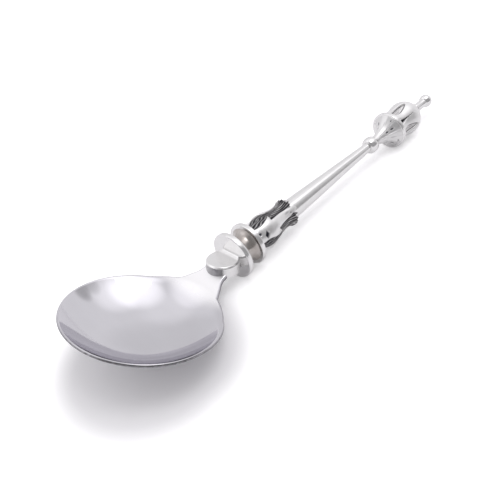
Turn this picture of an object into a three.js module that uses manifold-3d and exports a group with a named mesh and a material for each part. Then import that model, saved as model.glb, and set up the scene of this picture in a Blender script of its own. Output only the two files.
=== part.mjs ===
// Serving spoon: a pressed steel bowl carried by a handle of cast ornaments strung on a tie rod.
// Millimetres, +Z up, bowl toward -X, finial toward +X, standing on Z = 0.
import * as THREE from 'three';
import { mergeVertices } from 'three/addons/utils/BufferGeometryUtils.js';
import Module from 'manifold-3d';

const wasm = await Module();
wasm.setup();

// Fits and rounding
const seat = 0.25;
const bore = 0.3;
const edge = 0.45;
const roundSides = 32;
const smallSides = 20;
const lobeSides = 6;
const leafSides = 10;
const curveSteps = 6;
const lineSteps = 10;
const weld = 1e-4;

// Bowl, shank and tang, pressed from one steel blank
const bowlWidth = 68.6;
const bowlLength = 62.2;
const bowlDepth = 12;
const bowlFullness = 2.5;
const floorRounding = 0.2;
const bowlTilt = THREE.MathUtils.degToRad(18);
const heelDrop = 2.9;
const rimSheet = 1.2;
const shankLength = 9.2;
const shankWidth = 11.2;
const shankFlare = 0.7;
const shankSheet = 2.2;
const shankBlend = 3;
const neckBlend = 2;
const neckStart = 0.6;
const neckRounding = 3;
const restFlat = 0.3;
const tangWidth = 6.4;
const tangSlope = THREE.MathUtils.degToRad(8);
const tangPastPin = 3;
const shankEngagement = 3.5;

// Bolster: the round tongue in front of the collars
const bolsterDiameter = 15.1;
const bolsterThickness = 5.7;
const bolsterBevel = 0.7;
const bolsterTilt = THREE.MathUtils.degToRad(10);
const bolsterSunk = 1.95;
const bolsterTop = 2.5;
const filletRise = 1.3;
const filletRun = 2.6;

// Collars and spool
const frontCollarDiameter = 22.5;
const frontCollarThickness = 2.2;
const spoolLength = 7.1;
const spoolEndDiameter = 17;
const spoolWaistDiameter = 13.4;
const rearCollarDiameter = 20.5;
const rearCollarThickness = 2;

// Tie rod and pins
const rodDiameter = 2.5;
const headDiameter = 8;
const headInset = 0.9;
const pinDiameter = 2;

// Calyx: dark core with a flared, tufted lip, under a polished leaf sleeve
const leaves = 3;
const leafTurn = THREE.MathUtils.degToRad(50);
const calyxLength = 26.2;
const calyxFootDiameter = 11.4;
const calyxBulgeDiameter = 15;
const calyxBulgePlace = 7.4;
const calyxWaistDiameter = 11.4;
const calyxWaistPlace = 18.4;
const tuftLip = 1.4;
const tuftEdgeTurn = THREE.MathUtils.degToRad(22);
const tuftFullTurn = THREE.MathUtils.degToRad(40);
const sleeveThickness = 0.75;
const leafOverhang = 4.4;

// Openings of the leaf sleeve, and what stands between them
const columnWidth = 5.3;
const leafWidth = 5.4;
const windowFoot = 1.4;
const windowWidest = 4.6;
const spurGap = 4.4;
const spurSetback = 4.8;
const notchSetback = 7;
const notchDepth = 0.9;
const openingMargin = 2;

// Stem and bead
const stemLength = 62.4;
const stemFrontDiameter = 10.1;
const stemRearDiameter = 4.9;
const stemStep = 0.35;
const socketWall = 1.15;
const tenonLength = 6;
const beadDiameter = 8.6;
const beadLength = 5.8;

// Trumpet of four lobes, bud collar and pierced bud
const lobes = 4;
const lobeTurn = THREE.MathUtils.degToRad(5);
const lobeDepth = 0.07;
const trumpetLength = 12.2;
const trumpetThroatDiameter = 5.2;
const trumpetMouthDiameter = 18.2;
const trumpetFlare = 2.6;
const budCollarDiameter = 19.7;
const budCollarThickness = 2;
const budLength = 21.8;
const budFootDiameter = 15.4;
const budWaistDiameter = 14.2;
const budWaistPlace = 5.4;
const budBulgeDiameter = 15.8;
const budBulgePlace = 12;
const budEndDiameter = 5.6;
const budShellThickness = 0.8;
const budWindowLength = 10.6;
const budWindowWidth = 5.2;
const budWindowPlace = 6.9;
const budCleftLength = 4.4;
const budCleftWidth = 3.4;

// Finial
const finialFootDiameter = 7;
const finialFootLength = 1.6;
const finialWall = 0.85;
const finialNeckLength = 6.2;
const ballStand = 1.05;
const finialBoreDepth = 7;

// Sizes that follow from the ones above
const rodBore = rodDiameter / 2 + bore;
const pinBore = pinDiameter / 2 + bore;
const calyxEndDiameter = stemFrontDiameter + 2 * stemStep;
const tenonDiameter = calyxEndDiameter - 2 * (socketWall + seat);
const finialNeckDiameter = 2 * (rodBore + finialWall);
const ballDiameter = finialNeckDiameter + 2 * ballStand;
const halfLength = bowlLength / 2;
const halfWidth = bowlWidth / 2;
const foldAngle = bowlTilt + tangSlope;

// Stations along the handle axis, counted from the front face of the front collar
const bolsterReach = bolsterDiameter / 2 - bolsterSunk;
const bolsterFront = bolsterReach + bolsterDiameter / 2;
const shoulderReach = bolsterFront - shankEngagement;
const bowlReach = bolsterFront + shankLength + halfLength * Math.cos(bowlTilt);
const bowlRise = halfLength * Math.sin(bowlTilt) - heelDrop;
const spoolAt = frontCollarThickness + seat;
const rearCollarAt = spoolAt + spoolLength + seat;
const calyxAt = rearCollarAt + rearCollarThickness + seat;
const stemAt = calyxAt + calyxLength + seat;
const leafTipAt = stemAt + leafOverhang;
const beadAt = stemAt + stemLength + seat;
const trumpetAt = beadAt + beadLength + seat;
const budCollarAt = trumpetAt + trumpetLength + seat;
const budAt = budCollarAt + budCollarThickness + seat;
const finialAt = budAt + budLength + seat;
const ballAt = finialAt + finialFootLength + finialNeckLength + ballDiameter / 2;
const pinAt = spoolAt + spoolLength / 2;
const tangEnd = pinAt + tangPastPin;

// Solids for joining and cutting

function solidOf(geometry) {
  const bare = new THREE.BufferGeometry();
  bare.setAttribute('position', geometry.getAttribute('position'));
  bare.setIndex(geometry.getIndex());
  const welded = mergeVertices(bare, weld);
  const corners = welded.getIndex().array;
  const kept = [];
  for (let i = 0; i < corners.length; i += 3) {
    const [a, b, c] = corners.slice(i, i + 3);
    if (a !== b && b !== c && c !== a) kept.push(a, b, c);
  }
  return new wasm.Manifold(new wasm.Mesh({
    numProp: 3,
    vertProperties: new Float32Array(welded.getAttribute('position').array),
    triVerts: new Uint32Array(kept),
  }));
}

function geometryOf(solid) {
  const { vertProperties, triVerts } = solid.getMesh();
  const geometry = new THREE.BufferGeometry();
  geometry.setAttribute('position', new THREE.BufferAttribute(vertProperties, 3));
  geometry.setIndex(new THREE.BufferAttribute(triVerts, 1));
  geometry.computeVertexNormals();
  return geometry;
}

// A line of [along, radius] points turned about the handle axis (+X)
function spun(line, sides = roundSides) {
  const points = line.map(([along, radius]) => new THREE.Vector2(radius, along));
  return new THREE.LatheGeometry(points, sides).rotateZ(-Math.PI / 2);
}

// The same for a closed loop round a bore
const turned = (loop, sides) => spun([...loop, loop[0]], sides);

// A closed loop of [along, radius] points that changes with the angle from the top
function turnedFreely(loopAt, sides) {
  const rings = Array.from({ length: sides }, (_, i) => loopAt((i / sides) * 2 * Math.PI));
  const count = rings[0].length;
  const position = [];
  const index = [];
  rings.forEach((ring, i) => {
    const angle = (i / sides) * 2 * Math.PI;
    const next = ((i + 1) % sides) * count;
    ring.forEach(([along, radius], j) => {
      const after = (j + 1) % count;
      position.push(along, -radius * Math.sin(angle), radius * Math.cos(angle));
      index.push(i * count + j, next + after, i * count + after);
      index.push(i * count + j, next + j, next + after);
    });
  });
  const geometry = new THREE.BufferGeometry();
  geometry.setAttribute('position', new THREE.Float32BufferAttribute(position, 3));
  geometry.setIndex(index);
  return geometry;
}

// A smooth line through [along, radius] points
function smooth(points, steps) {
  const curve = new THREE.SplineCurve(points.map((point) => new THREE.Vector2(...point)));
  return curve.getPoints(steps).map(({ x, y }) => [x, y]);
}

// A ring with eased edges, from one station to the next, over a bore
function eased(from, length, diameter, hole) {
  const radius = diameter / 2;
  return [
    [from, hole],
    [from, radius - edge],
    [from + edge, radius],
    [from + length - edge, radius],
    [from + length, radius - edge],
    [from + length, hole],
  ];
}

function upright(diameter, low, high, along) {
  const pin = new THREE.CylinderGeometry(diameter / 2, diameter / 2, high - low, smallSides);
  return pin.rotateX(Math.PI / 2).translate(along, 0, (low + high) / 2);
}

// Flat bar along the tang's sloping middle line, which crosses the axis at the collar face
function tangBar(from, to, width, thickness) {
  const slope = Math.cos(tangSlope);
  const bar = new THREE.BoxGeometry((to - from) / slope, width, thickness);
  return bar.translate((from + to) / 2 / slope, 0, 0).rotateY(-tangSlope);
}

// Zero below, straight above, and a smooth bend between
function softRamp(value, reach) {
  if (value <= -reach) return 0;
  if (value >= reach) return value;
  return (value + reach) ** 2 / (4 * reach);
}

const neckShare = (forward) => THREE.MathUtils.smoothstep(-forward / halfLength, 0, 1);

// The bowl's own frame: forward to the tip, aside, and above the rim's plane
function toBowl(along, up) {
  const x = along + bowlReach;
  const z = up - bowlRise;
  return {
    forward: -x * Math.cos(bowlTilt) + z * Math.sin(bowlTilt),
    above: x * Math.sin(bowlTilt) + z * Math.cos(bowlTilt),
  };
}

function fromBowl(forward, aside, above) {
  return [
    -bowlReach - forward * Math.cos(bowlTilt) + above * Math.sin(bowlTilt),
    aside,
    bowlRise + forward * Math.sin(bowlTilt) + above * Math.cos(bowlTilt),
  ];
}

// Rise of the shank's top face out of the rim's plane
const tangTop = toBowl(0, shankSheet / 2 / Math.cos(tangSlope));
const spine = (forward) =>
  softRamp(tangTop.above - Math.tan(foldAngle) * (forward - tangTop.forward), shankBlend);

// Depth below the rim: a flat-bottomed hollow whose wall rises with a power of the distance from its middle
const lift = (share) =>
  (share ** 2 + floorRounding ** 2) ** (bowlFullness / 2) - floorRounding ** bowlFullness;

function hollow(forward, aside) {
  const share = Math.hypot(forward / halfLength, aside / halfWidth);
  return bowlDepth * (1 - lift(share) / lift(1));
}

const topFace = (forward, aside) =>
  spine(forward) - softRamp(hollow(forward, aside), neckBlend * neckShare(forward) + weld);

const sheetAt = (forward) => THREE.MathUtils.lerp(rimSheet, shankSheet, neckShare(forward));

// Half width of the blank: the bowl's ellipse, filleted into the flared shank
const shankFront = toBowl(-bolsterFront, 0).forward;

function blankHalfWidth(forward) {
  const ellipse = halfWidth * Math.sqrt(Math.max(0, 1 - (forward / halfLength) ** 2));
  const flare = shankFlare * softRamp(forward - shankFront, neckBlend);
  const started = THREE.MathUtils.smoothstep(-forward, neckStart * halfLength, halfLength);
  const shank = (shankWidth / 2 + flare) * started;
  return (ellipse ** neckRounding + shank ** neckRounding) ** (1 / neckRounding);
}

function pressedBlank() {
  const bowlSteps = 20;
  const neckSteps = 16;
  const across = 12;
  const bowlTurn = 0.75 * Math.PI;
  const shoulder = toBowl(-shoulderReach, 0).forward;
  const stations = Array.from({ length: bowlSteps + 1 }, (_, i) =>
    halfLength * Math.cos((i / bowlSteps) * bowlTurn));
  for (let i = 1; i <= neckSteps; i += 1) {
    stations.push(THREE.MathUtils.lerp(stations[bowlSteps], shoulder, i / neckSteps));
  }
  const position = [];
  const index = [];
  const row = 2 * (across + 1);
  stations.forEach((forward, i) => {
    const asides = Array.from({ length: across + 1 }, (_, j) =>
      -Math.cos((j / across) * Math.PI) * blankHalfWidth(forward));
    for (const aside of asides) position.push(...fromBowl(forward, aside, topFace(forward, aside)));
    for (const aside of asides.reverse()) {
      position.push(...fromBowl(forward, aside, topFace(forward, aside) - sheetAt(forward)));
    }
    if (i === 0) return;
    for (let j = 0; j < row; j += 1) {
      const here = i * row + j;
      const after = i * row + ((j + 1) % row);
      index.push(here - row, here, after, here - row, after, after - row);
    }
  });
  const last = (stations.length - 1) * row;
  for (let j = 0; j < across; j += 1) {
    const low = last + row - 1 - j;
    index.push(last + j, low, last + j + 1, last + j + 1, low, low - 1);
  }
  const blank = new THREE.BufferGeometry();
  blank.setAttribute('position', new THREE.Float32BufferAttribute(position, 3));
  blank.setIndex(index);
  return blank;
}

// The spoon stands on the bud collar's lower edge and on a flat under whichever hangs lower, the front
// collar or the bowl
const restAt = budCollarAt + budCollarThickness - edge;

function restSlope() {
  const samples = 400;
  const underside = Array.from({ length: samples + 1 }, (_, i) => {
    const forward = halfLength * (1 - (2 * i) / samples);
    return fromBowl(forward, 0, topFace(forward, 0) - sheetAt(forward));
  });
  underside.push([frontCollarThickness - edge, 0, -frontCollarDiameter / 2]);
  const slopes = underside.map(([along, , up]) =>
    (-budCollarDiameter / 2 - up - restFlat) / (restAt - along));
  return Math.max(...slopes);
}
const restAngle = Math.atan(restSlope());

// All that lies under the table's top, as a block to take off what stands on it
function underTable() {
  const reach = 2 * (restAt + bowlReach + bowlLength);
  const block = new THREE.BoxGeometry(reach, 2 * bowlWidth, bowlDepth)
    .translate(0, 0, -bowlDepth / 2)
    .rotateY(-restAngle)
    .translate(restAt, 0, -budCollarDiameter / 2);
  return solidOf(block);
}

function bowl() {
  const tang = tangBar(-shoulderReach - shankSheet, tangEnd, tangWidth, shankSheet);
  const pinHole = upright(2 * pinBore, -headDiameter, headDiameter, pinAt);
  const bolsterHole = upright(2 * pinBore, -bolsterDiameter, bolsterDiameter, -bolsterReach);
  return geometryOf(
    solidOf(pressedBlank()).add(solidOf(tang)).subtract(solidOf(pinHole))
      .subtract(solidOf(bolsterHole)).subtract(underTable()),
  );
}

// Bolster: a tilted disc cut off at the collar, with a hollow fillet up to the collar's face
const bolsterUnder = bolsterTop - bolsterThickness;
const pinTop = shankSheet / 2 + edge;

function bolster() {
  const radius = bolsterDiameter / 2;
  const lean = Math.tan(bolsterTilt);
  const side = [
    [0, bolsterUnder],
    [radius, bolsterUnder],
    [radius, bolsterTop - bolsterBevel],
    [radius - bolsterBevel, bolsterTop],
    [0, bolsterTop],
  ].map((point) => new THREE.Vector2(...point));
  const disc = new THREE.LatheGeometry(side, roundSides)
    .rotateX(Math.PI / 2)
    .rotateY(bolsterTilt)
    .translate(-bolsterReach, 0, 0);
  const half = Math.sqrt(radius ** 2 - bolsterReach ** 2);
  const faceTop = bolsterTop - bolsterReach * lean;
  const wedge = new THREE.Shape();
  wedge.moveTo(-seat, faceTop - edge);
  wedge.lineTo(-seat, faceTop + filletRise);
  wedge.quadraticCurveTo(-seat, faceTop, -seat - filletRun, faceTop + filletRun * lean);
  wedge.lineTo(-seat - filletRun, faceTop + filletRun * lean - edge);
  const pushed = { depth: 2 * half, bevelEnabled: false, curveSegments: curveSteps };
  const fillet = new THREE.ExtrudeGeometry(wedge, pushed)
    .translate(0, 0, -half)
    .rotateX(Math.PI / 2);
  const behind = new THREE.BoxGeometry(bolsterDiameter, 2 * bolsterDiameter, 2 * bolsterDiameter)
    .translate(bolsterDiameter / 2 - seat, 0, 0);
  const gap = shankSheet + 2 * seat;
  const mouth = tangBar(-2 * bolsterDiameter, -shoulderReach + seat, shankWidth + 2 * seat, gap);
  const slot = tangBar(-bolsterDiameter, edge, tangWidth + 2 * seat, gap);
  const pinHole = upright(2 * pinBore, bolsterUnder - bolsterThickness, pinTop + seat, -bolsterReach);
  return geometryOf(
    solidOf(disc).add(solidOf(fillet)).subtract(solidOf(behind)).subtract(solidOf(mouth))
      .subtract(solidOf(slot)).subtract(solidOf(pinHole)),
  );
}

function bolsterPin() {
  return upright(pinDiameter, bolsterUnder + seat, pinTop, -bolsterReach);
}

function frontCollar() {
  const disc = eased(0, frontCollarThickness, frontCollarDiameter, 0);
  const slot = tangBar(-shoulderReach, spoolAt + edge, tangWidth + 2 * seat, shankSheet + 2 * seat);
  return geometryOf(solidOf(spun(disc)).subtract(solidOf(slot)).subtract(underTable()));
}

function spool() {
  const hole = headDiameter / 2 + bore;
  const end = spoolEndDiameter / 2;
  const waist = spoolWaistDiameter / 2;
  const outer = smooth([
    [spoolAt, end],
    [spoolAt + spoolLength / 4, (end + waist) / 2 - edge],
    [spoolAt + spoolLength / 2, waist],
    [spoolAt + (3 * spoolLength) / 4, (end + waist) / 2 - edge],
    [spoolAt + spoolLength, end],
  ], curveSteps);
  const body = turned([[spoolAt, hole], ...outer, [spoolAt + spoolLength, hole]]);
  const pinHole = upright(2 * pinBore, -spoolEndDiameter, spoolEndDiameter, pinAt);
  return geometryOf(solidOf(body).subtract(solidOf(pinHole)));
}

function tangPin() {
  const reach = spoolWaistDiameter / 2 - seat;
  return upright(pinDiameter, -reach, reach, pinAt);
}

// The rod's forked head takes the tang; its far end screws into the finial
function tieRod() {
  const headEnd = rearCollarAt - seat;
  const headFront = spoolAt + headInset;
  const profile = [
    [headFront, 0],
    [headFront, headDiameter / 2],
    [headEnd, headDiameter / 2],
    [headEnd, rodDiameter / 2],
    [finialAt + finialBoreDepth - seat, rodDiameter / 2],
    [finialAt + finialBoreDepth - seat, 0],
  ];
  const rod = spun(profile, smallSides);
  const fork = tangBar(-shoulderReach, tangEnd + seat, 2 * headDiameter, shankSheet + 2 * seat);
  const pinHole = upright(2 * pinBore, -headDiameter, headDiameter, pinAt);
  return geometryOf(solidOf(rod).subtract(solidOf(fork)).subtract(solidOf(pinHole)));
}

const rearCollar = () => turned(eased(rearCollarAt, rearCollarThickness, rearCollarDiameter, rodBore));

// Core line under the leaves, and how far the tufts stand off it between them
const stemRadius = (along) => THREE.MathUtils.lerp(
  stemFrontDiameter / 2, stemRearDiameter / 2, THREE.MathUtils.clamp((along - stemAt) / stemLength, 0, 1));
const calyxLine = [
  [calyxAt, calyxFootDiameter / 2],
  [calyxAt + calyxBulgePlace, calyxBulgeDiameter / 2],
  [calyxAt + calyxWaistPlace, calyxWaistDiameter / 2],
  [calyxAt + calyxLength, calyxEndDiameter / 2],
];

function calyxCore() {
  const line = smooth(calyxLine, lineSteps);
  const sector = (2 * Math.PI) / leaves;
  const loopAt = (angle) => {
    const turn = Math.abs(angle - leafTurn - sector * Math.round((angle - leafTurn) / sector));
    const tuft = THREE.MathUtils.smoothstep(turn, tuftEdgeTurn, tuftFullTurn);
    const outer = line.map(([along, radius]) => {
      const share = Math.max(0, (along - calyxAt - calyxWaistPlace) / (calyxLength - calyxWaistPlace));
      return [along, radius + tuftLip * tuft * share ** 2];
    });
    return [
      [calyxAt, rodBore],
      ...outer,
      [calyxAt + calyxLength, tenonDiameter / 2 + seat],
      [calyxAt + calyxLength - tenonLength - seat, tenonDiameter / 2 + seat],
      [calyxAt + calyxLength - tenonLength - seat, rodBore],
    ];
  };
  return turnedFreely(loopAt, leaves * leafSides);
}

// Distance from an opening's middle line to the side of a leaf, on a given radius
const besideLeaf = (radius, width) => radius * Math.sin(Math.PI / leaves - Math.asin(width / 2 / radius));

// Opening between two leaves: an egg-shaped window that runs out between two spurs
function leafOpening() {
  const proud = seat + sleeveThickness;
  const wide = besideLeaf(calyxBulgeDiameter / 2 + proud, columnWidth);
  const leafSide = besideLeaf(calyxWaistDiameter / 2 + proud, leafWidth);
  const tipSide = besideLeaf(stemRadius(leafTipAt) + proud, 0);
  const tip = leafTipAt - calyxAt;
  const spur = calyxWaistPlace - spurSetback;
  const notch = calyxWaistPlace - notchSetback;
  const side = new THREE.Path();
  side.absellipse(windowWidest, 0, windowWidest - windowFoot, wide, Math.PI, Math.PI / 2, true);
  side.bezierCurveTo((windowWidest + notch) / 2, wide, notch, spurGap / 2 + notchDepth, spur, spurGap / 2);
  side.lineTo(notch, leafSide + notchDepth);
  side.bezierCurveTo(spur, leafSide, calyxWaistPlace + spurSetback, leafSide, tip, tipSide);
  side.lineTo(tip + openingMargin, tipSide);
  const half = side.getPoints(curveSteps);
  const mirrored = half.slice(1).reverse().map(({ x, y }) => new THREE.Vector2(x, -y));
  return new THREE.Shape([...half, ...mirrored]);
}

// A shape drawn along and aside of a handle station, pushed outward through a shell at an angle
function cutter(shape, from, reach, angle) {
  return new THREE.ExtrudeGeometry(shape, { depth: reach, bevelEnabled: false, curveSegments: curveSteps })
    .translate(from, 0, 0)
    .rotateX(angle);
}

function calyxLeaves() {
  const line = [...calyxLine, [leafTipAt, stemRadius(leafTipAt)]];
  const standing = (stand) => smooth(line.map(([along, radius]) => [along, radius + stand]), lineSteps);
  const loop = [...standing(seat).reverse(), ...standing(seat + sleeveThickness)];
  let sleeve = solidOf(turned(loop, leaves * leafSides));
  for (let i = 0; i < leaves; i += 1) {
    const middle = leafTurn + ((2 * i + 1) * Math.PI) / leaves;
    sleeve = sleeve.subtract(solidOf(cutter(leafOpening(), calyxAt, calyxBulgeDiameter, middle)));
  }
  return geometryOf(sleeve);
}

function stem() {
  return turned([
    [stemAt - tenonLength, rodBore],
    [stemAt - tenonLength, tenonDiameter / 2],
    [stemAt, tenonDiameter / 2],
    [stemAt, stemFrontDiameter / 2],
    [stemAt + stemLength, stemRearDiameter / 2],
    [stemAt + stemLength, rodBore],
  ], smallSides);
}

function beadRing() {
  const steps = 8;
  const low = stemRearDiameter / 2;
  const arc = Array.from({ length: steps + 1 }, (_, i) => [
    beadAt + (beadLength / 2) * (1 - Math.cos((i / steps) * Math.PI)),
    low + (beadDiameter / 2 - low) * Math.sin((i / steps) * Math.PI),
  ]);
  return turned([[beadAt, rodBore], ...arc, [beadAt + beadLength, rodBore]], smallSides);
}

// Four rounded lobes that open from the throat to the mouth
function trumpet() {
  const steps = 8;
  const throat = trumpetThroatDiameter / 2;
  const mouth = trumpetMouthDiameter / 2;
  const loopAt = (angle) => {
    const lobe = Math.abs(Math.cos((lobes / 2) * (angle - lobeTurn)));
    const outer = Array.from({ length: steps + 1 }, (_, i) => {
      const share = i / steps;
      const radius = throat + (mouth - throat) * share ** trumpetFlare;
      return [trumpetAt + share * trumpetLength, radius * (1 - lobeDepth * share * (1 - lobe))];
    });
    return [[trumpetAt, rodBore], ...outer, [trumpetAt + trumpetLength, rodBore]];
  };
  return turnedFreely(loopAt, lobes * lobeSides);
}

const budCollar = () => turned(eased(budCollarAt, budCollarThickness, budCollarDiameter, rodBore));

// Foot, waist and bulge of the bud, then a round shoulder down to its end
function budLine(stand) {
  const end = budEndDiameter / 2;
  const steps = 5;
  const rise = smooth([
    [budAt, budFootDiameter / 2],
    [budAt + budWaistPlace, budWaistDiameter / 2],
    [budAt + budBulgePlace, budBulgeDiameter / 2],
  ], steps);
  const shoulder = Array.from({ length: steps }, (_, i) => {
    const share = (i + 1) / steps;
    const fall = Math.cos((share * Math.PI) / 2);
    const along = budAt + THREE.MathUtils.lerp(budBulgePlace, budLength, share);
    return [along, end + (budBulgeDiameter / 2 - end) * fall];
  });
  return [...rise, ...shoulder].map(([along, radius]) => [along, radius + stand]);
}

function budCore() {
  const loop = [[budAt, rodBore], ...budLine(0), [budAt + budLength, rodBore]];
  return turned(loop, lobes * lobeSides);
}

// The bud's shell is pierced by an oval window over each lobe and cleft between them at its foot
function budShell() {
  const loop = [...budLine(seat).reverse(), ...budLine(seat + budShellThickness)];
  let shell = solidOf(turned(loop, lobes * lobeSides));
  const oval = new THREE.Shape();
  oval.absellipse(budWindowPlace, 0, budWindowLength / 2, budWindowWidth / 2, 0, 2 * Math.PI);
  const cleft = new THREE.Shape([
    new THREE.Vector2(-openingMargin, -budCleftWidth / 2),
    new THREE.Vector2(budCleftLength, 0),
    new THREE.Vector2(-openingMargin, budCleftWidth / 2),
  ]);
  for (let i = 0; i < lobes; i += 1) {
    const over = lobeTurn + (2 * Math.PI * i) / lobes;
    shell = shell.subtract(solidOf(cutter(oval, budAt, budBulgeDiameter, over)));
    shell = shell.subtract(solidOf(cutter(cleft, budAt, budBulgeDiameter, over + Math.PI / lobes)));
  }
  return geometryOf(shell);
}

function finial() {
  const neck = finialNeckDiameter / 2;
  const ball = ballDiameter / 2;
  const join = Math.asin(neck / ball);
  const round = Array.from({ length: lineSteps }, (_, i) => {
    const turn = THREE.MathUtils.lerp(join, Math.PI, i / lineSteps);
    return [ballAt - ball * Math.cos(turn), ball * Math.sin(turn)];
  });
  const profile = [
    [finialAt + finialBoreDepth, 0],
    [finialAt + finialBoreDepth, rodBore],
    [finialAt, rodBore],
    [finialAt, finialFootDiameter / 2],
    [finialAt + finialFootLength, neck],
    ...round,
    [ballAt + ball, 0],
  ];
  return spun(profile, smallSides);
}

// Finishes
const steel = { color: 0xc9ccd1, roughness: 0.12, metalness: 1 };
const whiteMetal = { color: 0xd8d6d3, roughness: 0.16, metalness: 1 };
const blackened = { color: 0x2b2a2d, roughness: 0.45, metalness: 0.8 };

const pieces = {
  bowl: [bowl(), steel],
  bolster: [bolster(), whiteMetal],
  bolster_pin: [bolsterPin(), steel],
  front_collar: [frontCollar(), whiteMetal],
  spool: [spool(), whiteMetal],
  tang_pin: [tangPin(), steel],
  tie_rod: [tieRod(), steel],
  rear_collar: [rearCollar(), whiteMetal],
  calyx_core: [calyxCore(), blackened],
  calyx_leaves: [calyxLeaves(), whiteMetal],
  stem: [stem(), whiteMetal],
  bead_ring: [beadRing(), whiteMetal],
  trumpet: [trumpet(), whiteMetal],
  bud_collar: [budCollar(), whiteMetal],
  bud_core: [budCore(), blackened],
  bud_shell: [budShell(), whiteMetal],
  finial: [finial(), whiteMetal],
};

// Everything is drawn about the handle axis, then tipped to stand on its two supports
const handleFrame = new THREE.Group();
for (const [name, [geometry, finish]] of Object.entries(pieces)) {
  const mesh = new THREE.Mesh(geometry, new THREE.MeshStandardMaterial(finish));
  mesh.name = name;
  handleFrame.add(mesh);
}
handleFrame.rotation.y = restAngle;

const spoon = new THREE.Group();
spoon.add(handleFrame);
const box = new THREE.Box3().setFromObject(spoon, true);
handleFrame.position.set(-(box.min.x + box.max.x) / 2, 0, -box.min.z);

export default spoon;
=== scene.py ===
"""Serving spoon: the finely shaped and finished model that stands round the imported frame.

Shapes are worked out in millimetres in the handle's own frame (along the axis from the front collar's
face, across it, and up), then placed in the row frame in metres.
"""
import math
from types import SimpleNamespace
from typing import NamedTuple

import bmesh
import bpy
import numpy as np
from mathutils import Euler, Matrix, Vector


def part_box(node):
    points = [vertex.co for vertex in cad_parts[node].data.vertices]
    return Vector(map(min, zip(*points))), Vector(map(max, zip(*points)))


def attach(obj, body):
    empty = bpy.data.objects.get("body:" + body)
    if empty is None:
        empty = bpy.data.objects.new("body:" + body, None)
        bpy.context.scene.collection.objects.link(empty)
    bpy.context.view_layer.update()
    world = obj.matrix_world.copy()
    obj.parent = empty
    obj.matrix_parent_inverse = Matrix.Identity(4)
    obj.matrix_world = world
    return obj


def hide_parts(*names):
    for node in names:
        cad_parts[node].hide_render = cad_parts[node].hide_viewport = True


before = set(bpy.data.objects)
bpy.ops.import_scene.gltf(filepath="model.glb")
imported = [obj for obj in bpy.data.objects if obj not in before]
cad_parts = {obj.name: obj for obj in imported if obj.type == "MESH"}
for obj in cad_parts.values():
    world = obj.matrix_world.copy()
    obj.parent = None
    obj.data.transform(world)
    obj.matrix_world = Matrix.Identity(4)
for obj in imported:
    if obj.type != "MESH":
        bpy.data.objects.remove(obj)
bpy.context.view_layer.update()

bl_info = {
    "name": "Serving spoon",
    "version": (1, 0, 0),
    "blender": (4, 5, 0),
    "location": "View3D > Sidebar > Spoon",
    "description": "Builds a serving spoon with a steel bowl and an ornamental handle",
    "category": "Object",
}

MM = 0.001
FULL_TURN = 2 * math.pi
MERGE_REACH = 1e-7
SHARP_ANGLE = math.radians(40)
# Bore over the tie rod, and how far a piece is drawn out to meet its neighbour, in mm
ROD_BORE = 1.55
SNUG = 0.14


# The handle's frame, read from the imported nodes

def node_points(node):
    """All vertices of a CAD node as rows of x, y and z, in metres."""
    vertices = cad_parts[node].data.vertices
    points = np.empty(3 * len(vertices))
    vertices.foreach_get("co", points)
    return points.reshape(-1, 3)


def middle(node):
    """Middle of a CAD node's box, in metres."""
    return np.mean([list(corner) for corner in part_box(node)], axis=0)


def unit(vectors):
    """Vectors divided by their lengths."""
    return vectors / np.linalg.norm(vectors, axis=-1, keepdims=True)


REAR = middle("rear_collar")
ALONG = unit(middle("bud_collar") - REAR)
ACROSS = np.array((0.0, 1.0, 0.0))
UPWARD = np.cross(ALONG, ACROSS)
AXES = np.stack((ALONG, ACROSS, UPWARD))
START = REAR + ALONG * ((node_points("front_collar") - REAR) @ ALONG).min()


def stations(node):
    """First and last place of a CAD node along the handle's axis, in mm from the front collar's face."""
    reach = (node_points(node) - START) @ ALONG / MM
    return reach.min(), reach.max()


def girth(node):
    """Greatest distance of a CAD node's vertices from the handle's axis, in mm."""
    offset = (node_points(node) - START) / MM
    return np.hypot(offset @ ACROSS, offset @ UPWARD).max()


# Sizes, turns, finishes and stage that a user may change

def length(label, words, value):
    """A length property with its default in millimetres."""
    return bpy.props.FloatProperty(
        name=label, description=words, default=value * MM, unit="LENGTH", precision=5)


def turn(label, words, value):
    """An angle property with its default in degrees."""
    return bpy.props.FloatProperty(
        name=label, description=words, default=math.radians(value), subtype="ANGLE")


def share(label, words, value):
    """A property between 0 and 1."""
    return bpy.props.FloatProperty(
        name=label, description=words, default=value, min=0, max=1, subtype="FACTOR")


def colour(label, words, value):
    """A colour property in linear red, green and blue."""
    return bpy.props.FloatVectorProperty(
        name=label, description=words, default=value, size=3, min=0, max=1, subtype="COLOR")


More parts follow.
